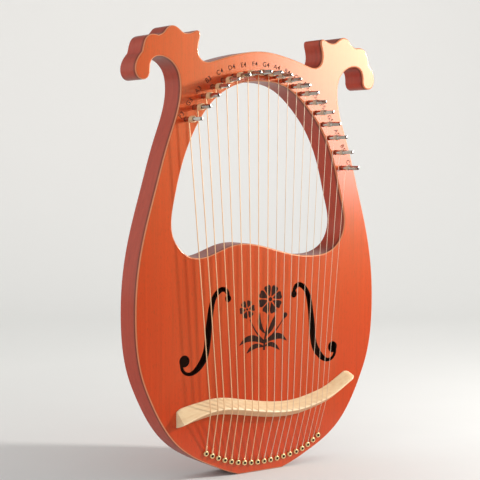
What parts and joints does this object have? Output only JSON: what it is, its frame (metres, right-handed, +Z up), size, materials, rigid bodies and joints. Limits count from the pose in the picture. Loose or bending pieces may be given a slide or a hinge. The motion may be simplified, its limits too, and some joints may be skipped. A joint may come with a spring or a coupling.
{
  "type": "lyre",
  "caption": "Standing lyre harp with a hollow rounded body, scrolled horns, a curved maple bridge, sound holes and wire strings on turning pins.",
  "frame": {"origin": "middle of the flat at the foot of the body", "axes": "+Z up along the strings, -Y out of the soundboard, +X towards the high strings"},
  "size_m": [0.323, 0.0635, 0.4886],
  "materials": {
    "mahogany": "satin red-orange lacquer",
    "soundboard_mahogany": "satin red-orange lacquer",
    "maple": "smooth sanded",
    "pin_steel": "bright nickel plate",
    "dark_steel": "darkened",
    "bronze_wire": "bronze wound",
    "steel_wire": "plain drawn steel"
  },
  "bodies": {
    "instrument": {"body": "mahogany", "soundboard": "soundboard_mahogany", "bridge": "maple", "hitch_pin_F3": "dark_steel", "hitch_pin_G3": "dark_steel", "hitch_pin_A3": "dark_steel", "hitch_pin_B3": "dark_steel", "hitch_pin_C4": "dark_steel", "hitch_pin_D4": "dark_steel", "hitch_pin_E4": "dark_steel", "hitch_pin_F4": "dark_steel", "hitch_pin_G4": "dark_steel", "hitch_pin_A4": "dark_steel", "hitch_pin_B4": "dark_steel", "hitch_pin_C5": "dark_steel", "hitch_pin_D5": "dark_steel", "hitch_pin_E5": "dark_steel", "hitch_pin_F5": "dark_steel", "hitch_pin_G5": "dark_steel", "hitch_pin_A5": "dark_steel", "hitch_pin_B5": "dark_steel", "hitch_pin_C6": "dark_steel", "string_F3": "bronze_wire", "string_G3": "bronze_wire", "string_A3": "bronze_wire", "string_B3": "bronze_wire", "string_C4": "bronze_wire", "string_D4": "bronze_wire", "string_E4": "bronze_wire", "string_F4": "bronze_wire", "string_G4": "bronze_wire", "string_A4": "steel_wire", "string_B4": "steel_wire", "string_C5": "steel_wire", "string_D5": "steel_wire", "string_E5": "steel_wire", "string_F5": "steel_wire", "string_G5": "steel_wire", "string_A5": "steel_wire", "string_B5": "steel_wire", "string_C6": "steel_wire"},
    "pin_F3": {"tuning_pin_F3": "pin_steel"},
    "pin_G3": {"tuning_pin_G3": "pin_steel"},
    "pin_A3": {"tuning_pin_A3": "pin_steel"},
    "pin_B3": {"tuning_pin_B3": "pin_steel"},
    "pin_C4": {"tuning_pin_C4": "pin_steel"},
    "pin_D4": {"tuning_pin_D4": "pin_steel"},
    "pin_E4": {"tuning_pin_E4": "pin_steel"},
    "pin_F4": {"tuning_pin_F4": "pin_steel"},
    "pin_G4": {"tuning_pin_G4": "pin_steel"},
    "pin_A4": {"tuning_pin_A4": "pin_steel"},
    "pin_B4": {"tuning_pin_B4": "pin_steel"},
    "pin_C5": {"tuning_pin_C5": "pin_steel"},
    "pin_D5": {"tuning_pin_D5": "pin_steel"},
    "pin_E5": {"tuning_pin_E5": "pin_steel"},
    "pin_F5": {"tuning_pin_F5": "pin_steel"},
    "pin_G5": {"tuning_pin_G5": "pin_steel"},
    "pin_A5": {"tuning_pin_A5": "pin_steel"},
    "pin_B5": {"tuning_pin_B5": "pin_steel"},
    "pin_C6": {"tuning_pin_C6": "pin_steel"}
  },
  "joints": [
    {"name": "turn_F3", "type": "hinge", "parent": "instrument", "child": "pin_F3", "pos_m": [-0.0997, -0.0165, 0.3904], "axis": [0, 1, 0], "continuous": true},
    {"name": "turn_G3", "type": "hinge", "parent": "instrument", "child": "pin_G3", "pos_m": [-0.08909, -0.0165, 0.40354], "axis": [0, 1, 0], "continuous": true},
    {"name": "turn_A3", "type": "hinge", "parent": "instrument", "child": "pin_A3", "pos_m": [-0.07801, -0.0165, 0.4157], "axis": [0, 1, 0], "continuous": true},
    {"name": "turn_B3", "type": "hinge", "parent": "instrument", "child": "pin_B3", "pos_m": [-0.066, -0.0165, 0.4259], "axis": [0, 1, 0], "continuous": true},
    {"name": "turn_C4", "type": "hinge", "parent": "instrument", "child": "pin_C4", "pos_m": [-0.05275, -0.0165, 0.4334], "axis": [0, 1, 0], "continuous": true},
    {"name": "turn_D4", "type": "hinge", "parent": "instrument", "child": "pin_D4", "pos_m": [-0.03866, -0.0165, 0.43844], "axis": [0, 1, 0], "continuous": true},
    {"name": "turn_E4", "type": "hinge", "parent": "instrument", "child": "pin_E4", "pos_m": [-0.0243, -0.0165, 0.4415], "axis": [0, 1, 0], "continuous": true},
    {"name": "turn_F4", "type": "hinge", "parent": "instrument", "child": "pin_F4", "pos_m": [-0.01014, -0.0165, 0.44296], "axis": [0, 1, 0], "continuous": true},
    {"name": "turn_G4", "type": "hinge", "parent": "instrument", "child": "pin_G4", "pos_m": [0.00365, -0.0165, 0.44272], "axis": [0, 1, 0], "continuous": true},
    {"name": "turn_A4", "type": "hinge", "parent": "instrument", "child": "pin_A4", "pos_m": [0.017, -0.0165, 0.4406], "axis": [0, 1, 0], "continuous": true},
    {"name": "turn_B4", "type": "hinge", "parent": "instrument", "child": "pin_B4", "pos_m": [0.02984, -0.0165, 0.43644], "axis": [0, 1, 0], "continuous": true},
    {"name": "turn_C5", "type": "hinge", "parent": "instrument", "child": "pin_C5", "pos_m": [0.04213, -0.0165, 0.43033], "axis": [0, 1, 0], "continuous": true},
    {"name": "turn_D5", "type": "hinge", "parent": "instrument", "child": "pin_D5", "pos_m": [0.05386, -0.0165, 0.4224], "axis": [0, 1, 0], "continuous": true},
    {"name": "turn_E5", "type": "hinge", "parent": "instrument", "child": "pin_E5", "pos_m": [0.065, -0.0165, 0.4128], "axis": [0, 1, 0], "continuous": true},
    {"name": "turn_F5", "type": "hinge", "parent": "instrument", "child": "pin_F5", "pos_m": [0.07555, -0.0165, 0.4016], "axis": [0, 1, 0], "continuous": true},
    {"name": "turn_G5", "type": "hinge", "parent": "instrument", "child": "pin_G5", "pos_m": [0.08553, -0.0165, 0.38866], "axis": [0, 1, 0], "continuous": true},
    {"name": "turn_A5", "type": "hinge", "parent": "instrument", "child": "pin_A5", "pos_m": [0.095, -0.0165, 0.3738], "axis": [0, 1, 0], "continuous": true},
    {"name": "turn_B5", "type": "hinge", "parent": "instrument", "child": "pin_B5", "pos_m": [0.10402, -0.0165, 0.35703], "axis": [0, 1, 0], "continuous": true},
    {"name": "turn_C6", "type": "hinge", "parent": "instrument", "child": "pin_C6", "pos_m": [0.1128, -0.0165, 0.3392], "axis": [0, 1, 0], "continuous": true}
  ]
}
